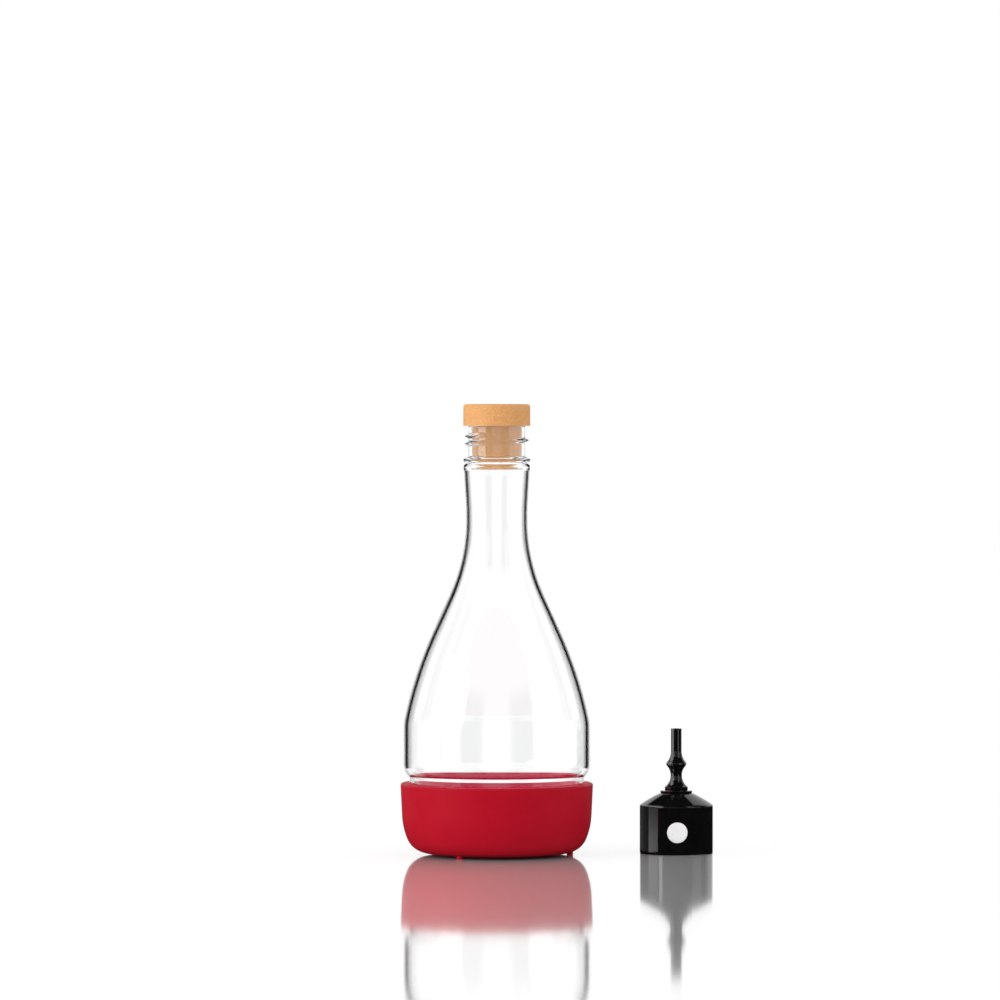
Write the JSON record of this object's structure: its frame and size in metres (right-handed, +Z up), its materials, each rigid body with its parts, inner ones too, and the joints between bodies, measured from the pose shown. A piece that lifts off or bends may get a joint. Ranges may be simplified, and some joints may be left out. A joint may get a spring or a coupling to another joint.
{
  "type": "bitters bottle",
  "caption": "Round clear glass bottle with a long neck, a T-shaped stopper and a soft boot, with its screw-on pourer cap standing beside it.",
  "frame": {"origin": "middle of the footprint of bottle and cap together, on the surface that they stand on; the bottle's axis is 25.8 mm to -X of it", "axes": "+Z up along the bottle's axis; +X from the bottle towards the cap; the front with the badge faces -Y"},
  "size_m": [0.1338, 0.0822, 0.1925],
  "materials": {
    "clear_glass": "clear, polished",
    "stopper_tan": "fine even grain, satin",
    "boot_red": "matt",
    "cap_black": "high gloss",
    "spout_black": "high gloss",
    "badge_white": "smooth"
  },
  "bodies": {
    "root": {"bottle": "clear_glass", "stopper": "stopper_tan", "boot": "boot_red", "pourer_cap": "cap_black", "pourer_spout": "spout_black"}
  },
  "joints": []
}
